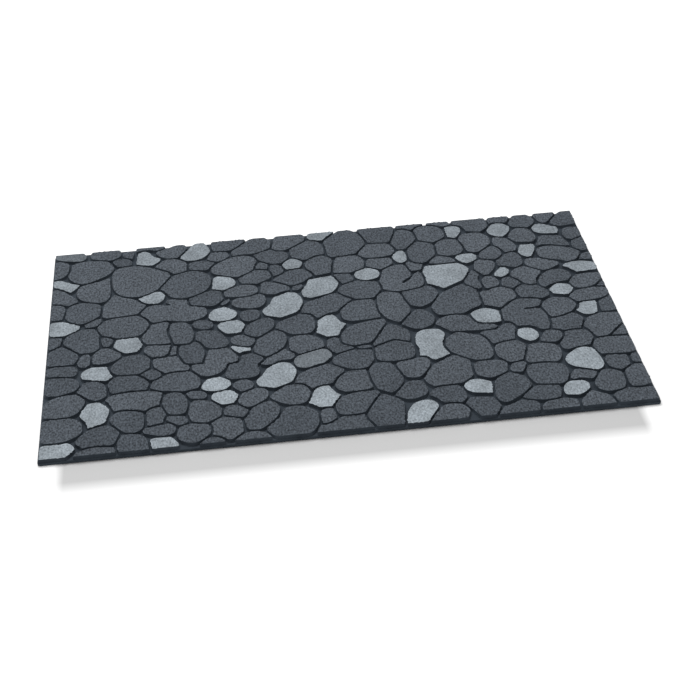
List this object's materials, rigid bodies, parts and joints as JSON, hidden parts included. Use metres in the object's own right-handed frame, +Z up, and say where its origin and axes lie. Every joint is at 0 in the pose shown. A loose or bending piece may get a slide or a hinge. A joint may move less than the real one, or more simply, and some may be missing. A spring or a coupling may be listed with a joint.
{
  "type": "rubber doormat",
  "caption": "Rectangular moulded rubber doormat whose top is a low relief of rounded river stones parted by narrow grooves; it lies flat by a door to wipe shoes on.",
  "frame": {"origin": "bottom centre of the mat, on the floor", "axes": "+X along the long side, +Y along the short side away from the picture's near edge, +Z up"},
  "size_m": [0.75, 0.45, 0.0085],
  "materials": {
    "rubber": "matt, with a fine flocked nap on the stones"
  },
  "bodies": {
    "root": {"doormat": "rubber"}
  },
  "joints": []
}
